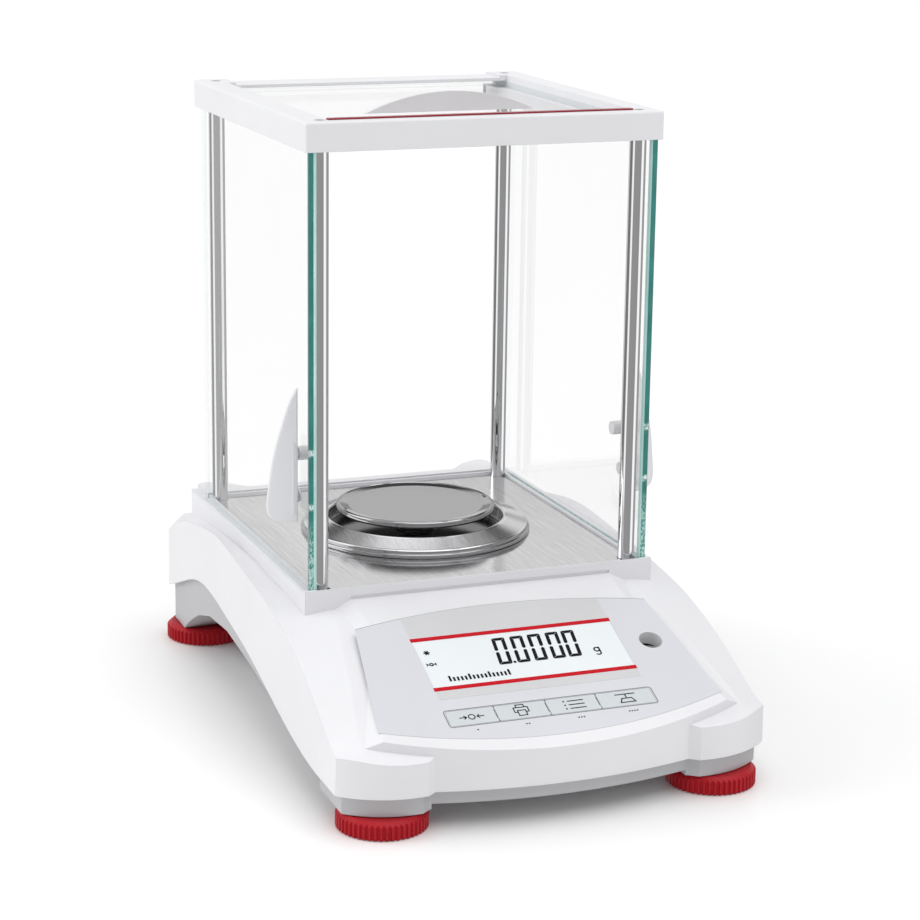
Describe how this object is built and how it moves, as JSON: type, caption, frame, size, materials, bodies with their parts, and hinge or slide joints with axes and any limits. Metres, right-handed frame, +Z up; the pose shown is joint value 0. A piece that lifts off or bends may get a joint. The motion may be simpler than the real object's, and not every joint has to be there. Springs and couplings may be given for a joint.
{
  "type": "analytical balance",
  "caption": "Bench analytical balance with a sloping display and key panel, glass draft shield with sliding doors, round pan and red levelling feet.",
  "frame": {"origin": "on the bench under the middle of the whole balance", "axes": "+X towards the side with the level window, +Y from the keys to the back, +Z up"},
  "size_m": [0.209, 0.327, 0.3063],
  "materials": {
    "white_housing": "fine satin",
    "grey_housing": "satin",
    "film": "printed film",
    "clear_lens": "clear",
    "lcd": "pale display",
    "light_guide": "white",
    "board": "green circuit board",
    "black_plastic": "satin",
    "vial": "clear green",
    "cup": "satin",
    "aluminium": "machined",
    "magnet_steel": "ground",
    "copper": "wound",
    "brass": "turned",
    "port_metal": "plated",
    "floor_steel": "brushed",
    "post_steel": "polished",
    "pan_steel": "polished rim, brushed face",
    "ring_steel": "polished",
    "clear_glass": "clear, green edges",
    "red_strip": "dark red",
    "grip_grey": "satin",
    "key_film": "printed film",
    "red_foot": "satin",
    "foot_rubber": "matte",
    "steel_stud": "threaded"
  },
  "bodies": {
    "balance_base": {"upper_housing": "white_housing", "lower_housing": "grey_housing", "housing_screws": "port_metal", "overlay_film": "film", "display_window": "clear_lens", "display_glass": "lcd", "display_backlight": "light_guide", "display_board": "board", "key_switches": "black_plastic", "level_cup": "cup", "level_vial": "vial", "base_plate": "aluminium", "load_cell": "aluminium", "magnet": "magnet_steel", "coil": "copper", "pan_support": "port_metal", "main_board": "board", "power_inlet": "black_plastic", "serial_port": "port_metal", "usb_port": "port_metal", "hook_cover": "grey_housing", "floor_plate": "floor_steel", "foot_inserts": "brass", "post_front_left": "post_steel", "post_front_right": "post_steel", "post_rear_left": "post_steel", "post_rear_right": "post_steel", "top_frame": "white_housing", "frame_screws": "post_steel", "front_pane": "clear_glass", "back_pane": "clear_glass"},
    "left_door": {"door_glass_left": "clear_glass", "door_handle_left": "white_housing", "handle_caps_left": "grip_grey"},
    "right_door": {"door_glass_right": "clear_glass", "door_handle_right": "white_housing", "handle_caps_right": "grip_grey"},
    "top_door": {"top_glass": "clear_glass", "top_edge_strip": "red_strip", "top_grip": "grip_grey"},
    "pan": {"weighing_pan": "pan_steel", "pan_hub": "aluminium"},
    "ring": {"draft_ring": "ring_steel"},
    "key_zero": {"key_zero": "key_film"},
    "key_print": {"key_print": "key_film"},
    "key_function": {"key_function": "key_film"},
    "key_tare": {"key_tare": "key_film"},
    "lift_front_left": {"foot_pad_front_left": "foot_rubber"},
    "wheel_front_left": {"foot_wheel_front_left": "red_foot", "foot_stud_front_left": "steel_stud"},
    "lift_front_right": {"foot_pad_front_right": "foot_rubber"},
    "wheel_front_right": {"foot_wheel_front_right": "red_foot", "foot_stud_front_right": "steel_stud"},
    "lift_rear_left": {"foot_pad_rear_left": "foot_rubber"},
    "wheel_rear_left": {"foot_wheel_rear_left": "red_foot", "foot_stud_rear_left": "steel_stud"},
    "lift_rear_right": {"foot_pad_rear_right": "foot_rubber"},
    "wheel_rear_right": {"foot_wheel_rear_right": "red_foot", "foot_stud_rear_right": "steel_stud"}
  },
  "joints": [
    {"name": "left_door_slide", "type": "slide", "parent": "balance_base", "child": "left_door", "axis": [0, 1, 0], "range_m": [0, 0.136]},
    {"name": "right_door_slide", "type": "slide", "parent": "balance_base", "child": "right_door", "axis": [0, 1, 0], "range_m": [0, 0.136]},
    {"name": "top_door_slide", "type": "slide", "parent": "balance_base", "child": "top_door", "axis": [0, 1, 0], "range_m": [0, 0.09]},
    {"name": "pan_lift", "type": "slide", "parent": "balance_base", "child": "pan", "axis": [0, 0, 1], "range_m": [0, 0.06]},
    {"name": "ring_lift", "type": "slide", "parent": "balance_base", "child": "ring", "axis": [0, 0, 1], "range_m": [0, 0.03]},
    {"name": "key_zero_press", "type": "slide", "parent": "balance_base", "child": "key_zero", "axis": [0, 0.3907, -0.9205], "range_m": [0, 0.0004], "stiffness_N_per_m": 2500},
    {"name": "key_print_press", "type": "slide", "parent": "balance_base", "child": "key_print", "axis": [0, 0.3907, -0.9205], "range_m": [0, 0.0004], "stiffness_N_per_m": 2500},
    {"name": "key_function_press", "type": "slide", "parent": "balance_base", "child": "key_function", "axis": [0, 0.3907, -0.9205], "range_m": [0, 0.0004], "stiffness_N_per_m": 2500},
    {"name": "key_tare_press", "type": "slide", "parent": "balance_base", "child": "key_tare", "axis": [0, 0.3907, -0.9205], "range_m": [0, 0.0004], "stiffness_N_per_m": 2500},
    {"name": "lift_front_left", "type": "slide", "parent": "balance_base", "child": "lift_front_left", "axis": [0, 0, -1], "range_m": [0, 0.00876]},
    {"name": "turn_front_left", "type": "hinge", "parent": "lift_front_left", "child": "wheel_front_left", "pos_m": [-0.0809, -0.1403, 0], "axis": [0, 0, -1], "range_deg": [0, 2520]},
    {"name": "lift_front_right", "type": "slide", "parent": "balance_base", "child": "lift_front_right", "axis": [0, 0, -1], "range_m": [0, 0.00876]},
    {"name": "turn_front_right", "type": "hinge", "parent": "lift_front_right", "child": "wheel_front_right", "pos_m": [0.0809, -0.1403, 0], "axis": [0, 0, -1], "range_deg": [0, 2520]},
    {"name": "lift_rear_left", "type": "slide", "parent": "balance_base", "child": "lift_rear_left", "axis": [0, 0, -1], "range_m": [0, 0.00876]},
    {"name": "turn_rear_left", "type": "hinge", "parent": "lift_rear_left", "child": "wheel_rear_left", "pos_m": [-0.0809, 0.1427, 0], "axis": [0, 0, -1], "range_deg": [0, 2520]},
    {"name": "lift_rear_right", "type": "slide", "parent": "balance_base", "child": "lift_rear_right", "axis": [0, 0, -1], "range_m": [0, 0.00876]},
    {"name": "turn_rear_right", "type": "hinge", "parent": "lift_rear_right", "child": "wheel_rear_right", "pos_m": [0.0809, 0.1427, 0], "axis": [0, 0, -1], "range_deg": [0, 2520]}
  ],
  "couplings": [
    {"joint": "lift_front_left", "follows": "turn_front_left", "m_per_rad": 0.00019894},
    {"joint": "lift_front_right", "follows": "turn_front_right", "m_per_rad": 0.00019894},
    {"joint": "lift_rear_left", "follows": "turn_rear_left", "m_per_rad": 0.00019894},
    {"joint": "lift_rear_right", "follows": "turn_rear_right", "m_per_rad": 0.00019894}
  ]
}
